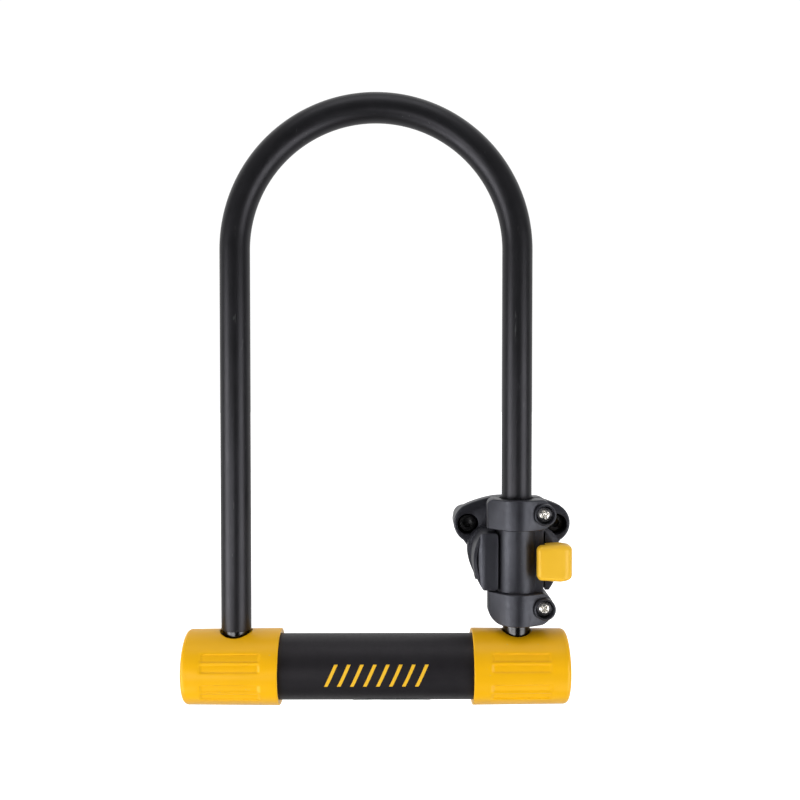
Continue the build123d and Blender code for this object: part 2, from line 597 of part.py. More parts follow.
def half_ring(y0, y1, ear_r):
    """Half of the clamping ring with its two ears, between y0 and y1."""
    ring = Pos(0, TUBE_Y, CLAMP_MID_Z) * Cylinder(CLAMP_BORE_R + CLAMP_WALL, CLAMP_HIGH - CLAMP_LOW)
    ears = block((-EAR_X, EAR_X), (y0, y1), (EAR_Z - ear_r, EAR_Z + ear_r))
    return ring + ears + both_sides(along_y(ear_r, y0, y1, x=EAR_X, z=EAR_Z))


def clamp_bolt_holes(y0, y1):
    return both_sides(along_y(BOLT_HOLE_R, y0, y1, x=EAR_X, z=EAR_Z))


def clamp_front():
    """Front half: half ring, ears and the plate that carries the receiver."""
    split_y = TUBE_Y - CLAMP_GAP / 2
    plate_back = CLAMP_FRONT_Y + CLAMP_PLATE
    plate = front_profile(clamp_outline(RECEIVER_Z[0], 52), CLAMP_FRONT_Y, plate_back)
    plate = fillet(plate.faces().sort_by(Axis.Y)[0].edges(), CLAMP_EDGE)
    grip = half_ring(plate_back - 1, split_y, EAR_R)
    body = plate + (grip & block((-40, 40), (plate_back - 1, split_y), (0, 100)))
    body -= Pos(0, TUBE_Y, CLAMP_MID_Z) * Cylinder(CLAMP_BORE_R, 100)
    body -= clamp_bolt_holes(0, split_y + 1)
    body -= both_sides(along_y(COUNTERBORE_R, 0, CLAMP_FRONT_Y + COUNTERBORE_DEPTH, x=EAR_X, z=EAR_Z))
    body -= both_sides(along_y(1.6, 10, 30, x=RECEIVER_SCREW_X, z=RECEIVER_SCREW_Z))
    return body - both_sides(along_y(3.1, 19.6, 30, x=RECEIVER_SCREW_X, z=RECEIVER_SCREW_Z))


def clamp_rear():
    """Rear half: a half ring with two ears, held by the long bolts."""
    split_y = TUBE_Y + CLAMP_GAP / 2
    body = half_ring(split_y, EAR_BACK_Y, REAR_EAR_R) & block((-40, 40), (split_y, 80), (0, 100))
    body -= Pos(0, TUBE_Y, CLAMP_MID_Z) * Cylinder(CLAMP_BORE_R, 100)
    body -= clamp_bolt_holes(split_y - 1, EAR_BACK_Y + 1)
    pocket = extrude(RegularPolygon(4.1, 6, major_radius=False), 2.0)
    pocket = Pos(EAR_X, EAR_BACK_Y, EAR_Z) * Rot(90, 0, 0) * pocket
    return body - both_sides(pocket)


def clamp_bolts():
    """Two M5 socket-head bolts, sunk in the front ears."""
    floor_y = CLAMP_FRONT_Y + COUNTERBORE_DEPTH - 1.0
    head = along_y(4.25, floor_y - 5.0, floor_y, x=EAR_X, z=EAR_Z)
    head = chamfer(head.edges().sort_by(Axis.Y)[0], 0.4)
    socket = extrude(RegularPolygon(2.0, 6, major_radius=False), 2.6)
    head -= Pos(EAR_X, floor_y - 2.4, EAR_Z) * Rot(90, 0, 0) * socket
    return both_sides(head + along_y(BOLT_R, floor_y, 52.5, x=EAR_X, z=EAR_Z))


def clamp_washers():
    floor_y = CLAMP_FRONT_Y + COUNTERBORE_DEPTH
    washer = along_y(4.9, floor_y - 1.0, floor_y, x=EAR_X, z=EAR_Z)
    return both_sides(washer - along_y(BOLT_R + 0.1, 0, 60, x=EAR_X, z=EAR_Z))


def clamp_nuts():
    nut = extrude(RegularPolygon(4.0, 6, major_radius=False), 4.6)
    nut = Pos(EAR_X, EAR_BACK_Y + 2.6, EAR_Z) * Rot(90, 0, 0) * nut
    return both_sides(nut - along_y(BOLT_R, 0, 60, x=EAR_X, z=EAR_Z))


def shim(front):
    """Half sleeve of rubber between the clamp and the bicycle tube."""
    ring = Pos(0, TUBE_Y, CLAMP_MID_Z) * Cylinder(CLAMP_BORE_R - 0.02, CLAMP_HIGH - CLAMP_LOW)
    ring -= Pos(0, TUBE_Y, CLAMP_MID_Z) * Cylinder(FRAME_TUBE_R, 100)
    side = (0, TUBE_Y - CLAMP_GAP / 2) if front else (TUBE_Y + CLAMP_GAP / 2, 80)
    return ring & block((-40, 40), side, (0, 100))


# ---------------------------------------------------------------- export
def sub_parts():
    """Every node of the lock and its solid, in the leg frame."""
    right_socket, right_plug, right_bolt = leg_socket(), end_plug(), deadbolt()
    return {
        "shackle_rod": shackle_rod(),
        "shackle_coat": shackle_coat(),
        "crossbar_tube": at_crossbar(crossbar_tube()),
        "end_boot_right": at_crossbar(boot(BOOT_HOLE_RIGHT_R)),
        "end_boot_left": at_crossbar(mirror(boot(BOOT_HOLE_LEFT_R), about=Plane.YZ)),
        "end_plug_right": at_crossbar(right_plug),
        "end_plug_left": at_crossbar(mirror(right_plug, about=Plane.YZ)),
        "end_plug_pins": at_crossbar(end_plug_pins()),
        "leg_socket_right": at_crossbar(right_socket),
        "leg_socket_left": at_crossbar(mirror(right_socket, about=Plane.YZ)),
        "lock_housing": at_crossbar(lock_housing()),
        "deadbolt_right": at_crossbar(right_bolt),
        "deadbolt_left": at_crossbar(Rot(0, 0, 180) * right_bolt),
        "drive_cam": at_crossbar(drive_cam()),
        "key_plug": at_crossbar(key_plug()),
        "wafers": at_crossbar(wafers()),
        "keyway_bezel": at_crossbar(keyway_bezel()),
        "dust_cover": at_crossbar(dust_cover()),
        "carrier_shell": carrier_shell(),
        "carrier_screws": carrier_screws(),
        "carrier_nuts": carrier_nuts(),
        "rubber_liner": rubber_liner(),
        "release_button": release_button(),
        "release_spring": release_spring(),
        "catch_spring": catch_leaf(),
        "receiver": receiver(),
        "receiver_screws": receiver_screws(),
        "clamp_front": clamp_front(),
        "clamp_rear": clamp_rear(),
        "clamp_bolts": clamp_bolts(),
        "clamp_washers": clamp_washers(),
        "clamp_nuts": clamp_nuts(),
        "shim_front": shim(front=True),
        "shim_rear": shim(front=False),
    }


os.makedirs("parts", exist_ok=True)
for node, solid in sub_parts().items():
    export_step(EXPORT_SHIFT * solid, f"parts/{node}.step")
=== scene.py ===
"""Looks of the U-shaped bicycle lock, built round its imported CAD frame.

Metres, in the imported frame: +z up the legs, -y to the front, and numbers times MM are in
millimetres.  Smooth, detailed pieces stand for the CAD nodes that show most; the others are
the CAD nodes themselves.  Every surface has a procedural material.
"""

import json
from math import asin, atan2, cos, hypot, pi, radians, sin

import bmesh
import bpy
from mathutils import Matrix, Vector


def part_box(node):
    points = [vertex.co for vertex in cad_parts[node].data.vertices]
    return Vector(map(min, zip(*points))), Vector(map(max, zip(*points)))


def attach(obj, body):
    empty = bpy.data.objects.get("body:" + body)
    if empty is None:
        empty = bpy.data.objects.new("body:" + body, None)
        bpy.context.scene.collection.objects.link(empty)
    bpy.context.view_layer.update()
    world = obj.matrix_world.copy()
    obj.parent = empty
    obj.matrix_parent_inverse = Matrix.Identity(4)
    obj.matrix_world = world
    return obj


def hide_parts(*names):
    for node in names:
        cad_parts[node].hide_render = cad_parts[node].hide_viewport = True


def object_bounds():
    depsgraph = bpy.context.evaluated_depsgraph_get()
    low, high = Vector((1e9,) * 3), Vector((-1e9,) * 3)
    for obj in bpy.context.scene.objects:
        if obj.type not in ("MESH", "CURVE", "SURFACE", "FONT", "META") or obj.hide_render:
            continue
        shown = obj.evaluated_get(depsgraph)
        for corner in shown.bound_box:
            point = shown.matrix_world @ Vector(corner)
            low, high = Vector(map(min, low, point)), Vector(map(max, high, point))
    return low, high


MM = 0.001

# ---------------------------------------------------------------- frame
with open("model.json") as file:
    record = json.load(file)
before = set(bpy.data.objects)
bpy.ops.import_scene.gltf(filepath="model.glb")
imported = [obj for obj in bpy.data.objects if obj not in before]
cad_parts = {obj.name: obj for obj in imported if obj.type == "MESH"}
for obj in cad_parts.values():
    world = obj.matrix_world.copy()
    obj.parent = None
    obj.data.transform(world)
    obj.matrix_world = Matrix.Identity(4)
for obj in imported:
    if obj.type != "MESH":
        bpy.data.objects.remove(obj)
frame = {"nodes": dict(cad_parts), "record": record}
cad_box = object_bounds()
tube_low, tube_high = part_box("crossbar_tube")
bar_middle = (tube_low + tube_high) / 2
TUBE_R = (tube_high.z - tube_low.z) / 2
coat_low, coat_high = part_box("shackle_coat")
COAT_R = (coat_high.y - coat_low.y) / 2
LEG_Y = (coat_high.y + coat_low.y) / 2
LEFT_LEG_X = coat_low.x + COAT_R
RIGHT_LEG_X = coat_high.x - COAT_R
BEND_RADIUS = (RIGHT_LEG_X - LEFT_LEG_X) / 2
BEND_Z = coat_high.z - COAT_R - BEND_RADIUS


# ---------------------------------------------------------------- material helpers
NOISE_LOW, NOISE_HIGH = 0.3, 0.7                # the span that most noise values are in
SCRATCH_SOFTNESS = 0.03                         # of a scratch's edge, in noise values


class Shader:
    """A node material with one Principled shader, filled in step by step."""

    def __init__(self, name, **constants):
        self.material = bpy.data.materials.new(name)
        self.material.use_nodes = True
        self.tree = self.material.node_tree
        self.shader = self.tree.nodes["Principled BSDF"]
        self.place = self.add("ShaderNodeTexCoord").outputs["Object"]
        for socket, value in constants.items():
            self.shader.inputs[socket.replace("_", " ")].default_value = value

    def add(self, kind, **settings):
        node = self.tree.nodes.new(kind)
        for name, value in settings.items():
            setattr(node, name, value)
        return node

    def link(self, source, target):
        self.tree.links.new(source, target)

    def noise(self, scale, detail=3.0, rough=0.55, stretch=(1, 1, 1)):
        """Noise over the surface; scale is in features per metre, stretch per axis."""
        mapping = self.add("ShaderNodeMapping")
        mapping.inputs["Scale"].default_value = stretch
        texture = self.add("ShaderNodeTexNoise")
        texture.inputs["Scale"].default_value = scale
        texture.inputs["Detail"].default_value = detail
        texture.inputs["Roughness"].default_value = rough
        self.link(self.place, mapping.inputs["Vector"])
        self.link(mapping.outputs["Vector"], texture.inputs["Vector"])
        return texture.outputs["Fac"]

    def ramp(self, factor, stops):
        """Colour ramp over a factor; stops are (position, grey or colour)."""
        node = self.add("ShaderNodeValToRGB")
        elements = node.color_ramp.elements
        while len(elements) < len(stops):
            elements.new(0.5)
        for element, (position, colour) in zip(elements, stops):
            element.position = position
            rgb = colour if isinstance(colour, tuple) else (colour, colour, colour)
            element.color = (*rgb, 1)
        self.link(factor, node.inputs["Fac"])
        return node.outputs["Color"]

    def spread(self, factor, low, high):
        """Ramp from low to high over the middle values of a noise."""
        return self.ramp(factor, [(NOISE_LOW, low), (NOISE_HIGH, high)])

    def cover(self, base, mask, colour):
        """A plain colour laid over a base where the mask is white."""
        node = self.add("ShaderNodeMix", data_type="RGBA")
        self.link(mask, node.inputs["Factor"])
        self.link(base, node.inputs["A"])
        node.inputs["B"].default_value = (*colour, 1)
        return node.outputs["Result"]

    def colour(self, value):
        self.link(value, self.shader.inputs["Base Color"])

    def roughness(self, value):
        self.link(value, self.shader.inputs["Roughness"])

    def bump(self, *layers):
        """Bump from (height socket, depth in mm) layers, one on the other."""
        normal = None
        for height, depth in layers:
            node = self.add("ShaderNodeBump")
            node.inputs["Distance"].default_value = depth * MM
            self.link(height, node.inputs["Height"])
            if normal is not None:
                self.link(normal, node.inputs["Normal"])
            normal = node.outputs["Normal"]
        self.link(normal, self.shader.inputs["Normal"])


def scratches(m, scale, stretch, threshold):
    """Sparse thin marks, as a mask: stretched noise above a threshold."""
    marks = m.noise(scale, detail=2, rough=0.5, stretch=stretch)
    return m.ramp(marks, [(threshold, 0.0), (threshold + SCRATCH_SOFTNESS, 1.0)])


# ---------------------------------------------------------------- materials
def vinyl_black():
    """Satin vinyl skin of the shackle, with a faint orange peel and a few dry scuffs."""
    m = Shader("vinyl_black", IOR=1.40, Specular_Tint=(0.93, 0.91, 1.0, 1.0))
    base = m.spread(m.noise(60), (0.009, 0.009, 0.010), (0.014, 0.014, 0.016))
    scuffs = scratches(m, 900, (1, 1, 0.12), 0.72)
    m.colour(m.cover(base, scuffs, (0.05, 0.05, 0.052)))
    m.roughness(m.spread(m.noise(140, detail=5), 0.33, 0.41))
    m.bump((m.noise(1500, detail=2), 0.006), (m.noise(220, detail=2), 0.02))
    return m.material


def hardened_steel():
    """Dark polished bar with fine turning marks round it."""
    m = Shader("hardened_steel", Metallic=1.0)
    turned = m.noise(400, stretch=(0.15, 0.15, 6))
    m.colour(m.spread(turned, (0.045, 0.045, 0.047), (0.075, 0.075, 0.078)))
    m.roughness(m.spread(m.noise(900, stretch=(0.1, 0.1, 4)), 0.16, 0.24))
    m.bump((m.noise(1500, detail=1, stretch=(0.1, 0.1, 5)), 0.003))
    return m.material


def tube_black():
    """Powder-coated tube: matte with a fine grain."""
    m = Shader("tube_black", IOR=1.37, Specular_Tint=(0.98, 0.94, 1.0, 1.0))
    m.colour(m.spread(m.noise(90), (0.009, 0.008, 0.010), (0.013, 0.012, 0.014)))
    m.roughness(m.spread(m.noise(700), 0.42, 0.52))
    m.bump((m.noise(2600, detail=2), 0.010))
    return m.material


def yellow_vinyl(name, deep, bright, rough):
    """Saturated soft yellow plastic, faintly mottled, with a fine skin."""
    m = Shader(name, IOR=1.42, Specular_Tint=(1.0, 0.91, 0.60, 1.0))
    base = m.spread(m.noise(55, detail=4), deep, bright)
    rubbed = scratches(m, 500, (0.5, 1, 1), 0.74)
    m.colour(m.cover(base, rubbed, (0.85, 0.5, 0.08)))
    m.roughness(m.spread(m.noise(260, detail=4), rough - 0.05, rough + 0.05))
    m.bump((m.noise(1900, detail=2), 0.006), (m.noise(160, detail=2), 0.03))
    return m.material


def moulded_plastic(name, dark, light, rough):
    """Dark nylon with a fine spark-eroded grain, a slightly blue sheen and a little dust."""
    m = Shader(name, IOR=1.52, Specular_Tint=(0.86, 0.88, 1.0, 1.0))
    base = m.spread(m.noise(120, detail=4), dark, light)
    dust = scratches(m, 1700, (1, 1, 1), 0.74)
    m.colour(m.cover(base, dust, (0.10, 0.10, 0.10)))
    m.roughness(m.spread(m.noise(500, detail=4), rough - 0.06, rough + 0.07))
    m.bump((m.noise(2400, detail=3), 0.016), (m.noise(250, detail=2), 0.02))
    return m.material


def plated_metal(name, dark, light, rough, grain=(1, 1, 1)):
    """Bare or plated metal with a fine grain, stretched along an axis where it is drawn."""
    m = Shader(name, Metallic=1.0)
    m.colour(m.spread(m.noise(600, stretch=grain), dark, light))
    m.roughness(m.spread(m.noise(1100, stretch=grain), rough - 0.04, rough + 0.06))
    m.bump((m.noise(1800, detail=2, stretch=grain), 0.004))
    return m.material


def soft_rubber():
    """Matte black rubber."""
    m = Shader("rubber_black", IOR=1.45)
    m.colour(m.spread(m.noise(300), (0.010, 0.010, 0.010), (0.020, 0.020, 0.020)))
    m.roughness(m.spread(m.noise(800), 0.62, 0.78))
    m.bump((m.noise(1600), 0.02))
    return m.material


MATERIALS = {
    "vinyl_black": vinyl_black(),
    "hardened_steel": hardened_steel(),
    "tube_black": tube_black(),
    "boot_yellow": yellow_vinyl("boot_yellow", (0.93, 0.475, 0.003), (0.97, 0.50, 0.004), 0.34),
    "button_yellow": yellow_vinyl("button_yellow", (0.93, 0.53, 0.03), (0.96, 0.56, 0.04), 0.34),
    "bracket_plastic": moulded_plastic("bracket_plastic", (0.016, 0.016, 0.020),
                                       (0.022, 0.022, 0.027), 0.40),
    "core_steel": plated_metal("core_steel", (0.40, 0.40, 0.41), (0.50, 0.50, 0.51), 0.3),
    "brass": plated_metal("brass", (0.62, 0.44, 0.17), (0.74, 0.55, 0.25), 0.26),
    "nickel": plated_metal("nickel", (0.78, 0.75, 0.70), (0.92, 0.90, 0.86), 0.24),
    "zinc_plate": plated_metal("zinc_plate", (0.45, 0.45, 0.46), (0.60, 0.60, 0.61), 0.3),
    "spring_steel": plated_metal("spring_steel", (0.32, 0.32, 0.34), (0.46, 0.46, 0.48), 0.25,
                                 grain=(1, 4, 1)),
    "black_oxide": plated_metal("black_oxide", (0.030, 0.030, 0.031), (0.050, 0.050, 0.052), 0.34),
    "rubber_black": soft_rubber(),
    "cover_plastic": moulded_plastic("cover_plastic", (0.012, 0.012, 0.013),
                                     (0.020, 0.020, 0.021), 0.40),
}
SLOT_OF = {part["node"]: part["material_slot"] for part in frame["record"]["subparts"]}


# ---------------------------------------------------------------- mesh helpers
SHARP_ANGLE = radians(35)                       # edges past it stay hard


def piece(name, mesh, body, slot_name, *nodes):
    """Link a finished mesh as a piece of the lock that stands for CAD nodes."""
    obj = bpy.data.objects.new(name, mesh)
    bpy.context.scene.collection.objects.link(obj)
    mesh.materials.clear()
    mesh.materials.append(MATERIALS[slot_name])
    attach(obj, body)
    if nodes:
        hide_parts(*nodes)


def mesh_from(name, bm, sharp_angle=SHARP_ANGLE):
    """Finish a bmesh: outward normals, smooth faces, hard edges past the angle."""
    bmesh.ops.recalc_face_normals(bm, faces=bm.faces)
    for face in bm.faces:
        face.smooth = True
    for edge in bm.edges:
        edge.smooth = len(edge.link_faces) == 2 and edge.calc_face_angle() < sharp_angle
    mesh = bpy.data.meshes.new(name)
    bm.to_mesh(mesh)
    bm.free()
    return mesh


def bridge(bm, *rings):
    """Quads from each closed ring to the next one, save where a vertex is None."""
    for first, second in zip(rings, rings[1:]):
        for i in range(len(first)):
            j = (i + 1) % len(first)
            corners = (first[i], first[j], second[j], second[i])
            if None not in corners:
                bm.faces.new(corners)


def quarter_turn(steps):
    """Angles of a quarter round in equal steps, its start left out."""
    return [pi / 2 * step / steps for step in range(1, steps + 1)]


# ---------------------------------------------------------------- shackle
COAT_THICKNESS = 0.4 * MM
SLEEVE_SIDES = 72
SLEEVE_LIP = 0.35 * MM
BEND_STEPS = 96
LIP_STEPS = 4


def lowest_right_z(node):
    """Lowest point of a CAD node on the right-hand side of the crossbar's middle."""
    return min(v.co.z for v in frame["nodes"][node].data.vertices if v.co.x > bar_middle.x)


def leg_stations(left_z, right_z):
    """Centres and outward directions up the left leg, round the bend and down the right."""
    middle_x = (LEFT_LEG_X + RIGHT_LEG_X) / 2
    stations = [(Vector((LEFT_LEG_X, LEG_Y, left_z)), Vector((-1, 0, 0)))]
    for step in range(BEND_STEPS + 1):
        angle = pi - pi * step / BEND_STEPS
        out = Vector((cos(angle), 0, sin(angle)))
        stations.append((Vector((middle_x, LEG_Y, BEND_Z)) + BEND_RADIUS * out, out))
    stations.append((Vector((RIGHT_LEG_X, LEG_Y, right_z)), Vector((1, 0, 0))))
    return stations


def sleeve():
    """Vinyl skin of the shackle: a closed thin tube with rounded lips at both ends."""
    low_ends = coat_low.z, lowest_right_z("shackle_coat")
    inner_r = COAT_R - COAT_THICKNESS
    bm = bmesh.new()

    def ring(centre, out, radius):
        turns = [2 * pi * i / SLEEVE_SIDES for i in range(SLEEVE_SIDES)]
        side = Vector((0, 1, 0))
        return [bm.verts.new(centre + radius * (cos(t) * out + sin(t) * side)) for t in turns]

    ends = leg_stations(*low_ends)
    raised = leg_stations(*(z + SLEEVE_LIP for z in low_ends))
    outer = [ring(centre, out, COAT_R) for centre, out in raised]
    inner = [ring(centre, out, inner_r) for centre, out in ends]
    bridge(bm, *outer)
    bridge(bm, *inner)
    for end in (0, -1):
        centre, out = ends[end]
        lip = []
        for angle in quarter_turn(LIP_STEPS):
            rise = SLEEVE_LIP * (1 - sin(angle))
            radius = COAT_R - SLEEVE_LIP * (1 - cos(angle))
            lip.append(ring(centre + Vector((0, 0, rise)), out, radius))
        bridge(bm, outer[end], *lip, inner[end])
    mesh = mesh_from("shackle_sleeve", bm)
    piece("shackle_sleeve", mesh, "shackle", "vinyl_black", "shackle_coat")


# ---------------------------------------------------------------- boots
BOOT_SIDES = 264
TURN_STEP = 2 * pi / BOOT_SIDES
BOOT_STEP = 0.5 * MM                            # rough distance between rings of the grid
BOOT_END_R = 16.8 * MM
BOOT_EDGE = 2.2 * MM
BOOT_PLAY = 0.05 * MM                           # between a boot and the tube
BOOT_WALL_END = 4.5 * MM
BORE_R = TUBE_R + BOOT_PLAY
LEFT_HOLE_R, RIGHT_HOLE_R = 7.4 * MM, 6.8 * MM
HOLE_RIM, HOLE_STRETCH = 0.4 * MM, 0.3 * MM     # the hole is a little longer front to back
MOUTH_LIP = 0.4 * MM
FLUTE_LENGTH, FLUTE_WIDTH, FLUTE_DEPTH = 27.6 * MM, 3.5 * MM, 0.55 * MM
FLUTE_EDGE, FLUTE_RUN_OUT = 0.5 * MM, 1.6 * MM  # slope of its long edges and of its ends
FLUTE_SHIFT = 0.7 * MM                          # outwards from the leg's axis
FLUTE_ANGLES = (29, 13, -18.5, -34.5)           # degrees above the horizontal
RIM_STEPS, END_STEPS = 4, 8
WARP_IN, WARP_OUT = 11, 25                      # squares round the hole, in grid steps


def smooth_step(value):
    """From 0 to 1 as the value goes from 0 to 1, level at both ends."""
    t = min(1.0, max(0.0, value))
    return t * t * (3 - 2 * t)


def flute_depth(along, turn):
    """Depth of the grooves at a place: along is from their middle, turn from straight up."""
    run_out = smooth_step((FLUTE_LENGTH / 2 - abs(along)) / FLUTE_RUN_OUT)
    depth = 0.0
    for angle in FLUTE_ANGLES:
        for side in (1, -1):
            centre = side * radians(90 - angle)
            round_by = (turn - centre + pi) % (2 * pi) - pi
            outside = abs(round_by) * BOOT_END_R - FLUTE_WIDTH / 2
            depth = max(depth, FLUTE_DEPTH * run_out * smooth_step(0.5 - outside / FLUTE_EDGE))
    return depth


def steps_from_top(row):
    """Steps round from straight up to a row of the grid, negative towards the back."""
    return (row + BOOT_SIDES // 2) % BOOT_SIDES - BOOT_SIDES // 2


class BootShape:
    """A boot as a grid: s is the distance from its mouth, turn the angle from straight up."""

    def __init__(self, node, leg_x, hole_r):
        low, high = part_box(node)
        self.leg_x, self.hole_r = leg_x, hole_r
        self.outward = 1 if leg_x > bar_middle.x else -1
        self.mouth, end = (low.x, high.x) if self.outward > 0 else (high.x, low.x)
        self.mouth_r = (high.y - low.y) / 2
        self.length = abs(end - self.mouth)
        self.leg = abs(leg_x - self.mouth)
        straight = self.length - BOOT_EDGE - MOUTH_LIP
        self.columns = round(straight / BOOT_STEP)
        self.step = straight / self.columns
        self.leg_column = round((self.leg - MOUTH_LIP) / self.step)
        self.bm = bmesh.new()

    def wall_radius(self, s):
        """Radius without the grooves: the boot widens evenly towards its outer end."""
        return self.mouth_r + (BOOT_END_R - self.mouth_r) * s / self.length

    def skin(self, s, turn):
        """Radius of the outer skin, with its grooves."""
        return self.wall_radius(s) - flute_depth(s - self.leg - FLUTE_SHIFT, turn)

    def vertex(self, s, turn, radius):
        x = self.mouth + self.outward * s
        y, z = LEG_Y - radius * sin(turn), bar_middle.z + radius * cos(turn)
        return self.bm.verts.new((x, y, z))

    def ring(self, s, radius):
        """A closed ring of vertices round the bar's axis."""
        return [self.vertex(s, row * TURN_STEP, radius) for row in range(BOOT_SIDES)]

    def warped(self, column, row):
        """Place of a grid vertex, drawn out from the square of the hole to its circle."""
        steps_s, steps_t = column - self.leg_column, steps_from_top(row)
        s, turn = MOUTH_LIP + column * self.step, steps_t * TURN_STEP
        reach = max(abs(steps_s), abs(steps_t))
        if reach < WARP_IN or reach > WARP_OUT:
            return s, turn
        share = (reach - WARP_IN) / (WARP_OUT - WARP_IN)
        angle = atan2(steps_t * TURN_STEP * BOOT_END_R, steps_s * self.step)
        rim = self.hole_r + HOLE_RIM
        hole_s = self.leg + rim * cos(angle)
        hole_turn = asin((rim + HOLE_STRETCH) * sin(angle) / self.wall_radius(self.leg))
        edge_s = MOUTH_LIP + (self.leg_column + steps_s * WARP_OUT / reach) * self.step
        edge_turn = steps_t * TURN_STEP * WARP_OUT / reach
        return hole_s + (edge_s - hole_s) * share, hole_turn + (edge_turn - hole_turn) * share

    def in_hole(self, column, row):
        return max(abs(column - self.leg_column), abs(steps_from_top(row))) < WARP_IN

    def grid(self, radius_of):
        """Rings of vertices along the boot, with None for each place inside the leg hole."""
        rings = []
        for column in range(self.columns + 1):
            ring = []
            for row in range(BOOT_SIDES):
                if self.in_hole(column, row):
                    ring.append(None)
                    continue
                s, turn = self.warped(column, row)
                ring.append(self.vertex(s, turn, radius_of(s, turn)))
            rings.append(ring)
        return rings

    def add_mouth_lip(self, outer_ring, inner_ring):
        """Rounded lip at the mouth, from the skin to the bore."""
        lip = []
        for angle in quarter_turn(RIM_STEPS):
            radius = self.mouth_r - MOUTH_LIP * (1 - cos(angle))
            lip.append(self.ring(MOUTH_LIP * (1 - sin(angle)), radius))
        bridge(self.bm, outer_ring, *lip, inner_ring)

    def add_outer_end(self, outer_ring, inner_ring):
        """Rounded and closed outer end, and the floor of the bore inside it."""
        corner_s = self.length - BOOT_EDGE
        corner_r = self.wall_radius(corner_s) - BOOT_EDGE
        rounding = []
        for angle in quarter_turn(END_STEPS):
            radius = corner_r + BOOT_EDGE * cos(angle)
            rounding.append(self.ring(corner_s + BOOT_EDGE * sin(angle), radius))
        bridge(self.bm, outer_ring, *rounding)
        self.bm.faces.new(rounding[-1])
        bore_end = self.ring(self.length - BOOT_WALL_END, BORE_R)
        bridge(self.bm, inner_ring, bore_end)
        self.bm.faces.new(bore_end)

    def hole_cells(self):
        """Grid places on the square round the hole, in order."""
        side = range(-WARP_IN, WARP_IN)
        offsets = [(WARP_IN, t) for t in side]
        offsets += [(-c, WARP_IN) for c in side]
        offsets += [(-WARP_IN, -t) for t in side]
        offsets += [(c, -WARP_IN) for c in side]
        return [(self.leg_column + c, t % BOOT_SIDES) for c, t in offsets]

    def add_hole_rim(self, outer, inner):
        """Rounded rim of the leg hole, and its wall down to the bore."""
        skin_edge = [outer[column][row] for column, row in self.hole_cells()]
        bore_edge = [inner[column][row] for column, row in self.hole_cells()]
        axis = Vector((self.leg_x, LEG_Y, 0))
        rim = []
        for angle in quarter_turn(RIM_STEPS):
            drop = HOLE_RIM * (1 - cos(angle))
            ring = []
            for v in skin_edge:
                flat = Vector((v.co.x, v.co.y, 0)) - axis
                place = axis + flat.normalized() * (flat.length - HOLE_RIM * sin(angle))
                ring.append(self.bm.verts.new((place.x, place.y, v.co.z - drop)))
            rim.append(ring)
        bridge(self.bm, skin_edge, *rim, bore_edge)


def boot(name, node, leg_x, hole_r):
    """Soft boot with rounded outer end, grooves front and back and a rimmed leg hole."""
    shape = BootShape(node, leg_x, hole_r)
    outer = shape.grid(shape.skin)
    inner = shape.grid(lambda s, turn: BORE_R)
    bridge(shape.bm, *outer)
    bridge(shape.bm, *inner)
    shape.add_mouth_lip(outer[0], inner[0])
    shape.add_outer_end(outer[-1], inner[-1])
    shape.add_hole_rim(outer, inner)
    piece(name, mesh_from(name, shape.bm), "crossbar", "boot_yellow", node)


# ---------------------------------------------------------------- softened CAD nodes
WELD = 0.002 * MM                               # vertices closer than this become one
FLAT_ANGLE = radians(0.6)                       # faces within it are joined into one
BEVEL_ANGLE = radians(28)                       # edges past it are rounded
BEVEL_SEGMENTS, BEVEL_PROFILE = 2, 0.6


def softened(node, body, width):
    """A piece with a CAD node's own shape, its hard edges rounded by width."""
    bm = bmesh.new()
    bm.from_mesh(frame["nodes"][node].data)
    bmesh.ops.remove_doubles(bm, verts=bm.verts, dist=WELD)
    bmesh.ops.dissolve_limit(bm, angle_limit=FLAT_ANGLE, verts=bm.verts, edges=bm.edges)
    bmesh.ops.recalc_face_normals(bm, faces=bm.faces)
    hard = [e for e in bm.edges if len(e.link_faces) == 2 and e.calc_face_angle() > BEVEL_ANGLE]
    bmesh.ops.bevel(bm, geom=hard, offset=width, offset_type="OFFSET", affect="EDGES",
                    segments=BEVEL_SEGMENTS, profile=BEVEL_PROFILE, clamp_overlap=True)
    piece(node + "_soft", mesh_from(node + "_soft", bm), body, SLOT_OF[node], node)


# ---------------------------------------------------------------- screws
SCREW_SIDES = 96
SCREW_EDGE_ANGLE = radians(50)                  # edges past it stay hard
HEAD_HEIGHT, DOME_RISE, DOME_POWER = 2.2 * MM, 1.0 * MM, 2.5
SHAFT_R = 1.5 * MM
DOME_STEPS = 42
RECESS_DEPTH, RECESS_REACH, RECESS_HALF = 1.5 * MM, 1.9 * MM, 0.42 * MM
RECESS_TAPER, RECESS_SLOPE = 0.45, 0.35 * MM    # of a slot along its length, of its walls
SCREW_TURNS = {1: 22, -1: 52}                   # degrees of the cross, upper and lower head


def recess_depth(x, z):
    """Depth of the cross recess at a place on the head: two crossed, tapering slots."""
    arms = 0.0
    for along, across in ((x, z), (z, x)):
        half = RECESS_HALF * (1 - RECESS_TAPER * abs(along) / RECESS_REACH)
        wall = smooth_step(0.5 - (abs(across) - half) / RECESS_SLOPE)
        run = max(0.0, 1 - (abs(along) / RECESS_REACH) ** 2)
        arms = max(arms, wall * run)
    return RECESS_DEPTH * arms


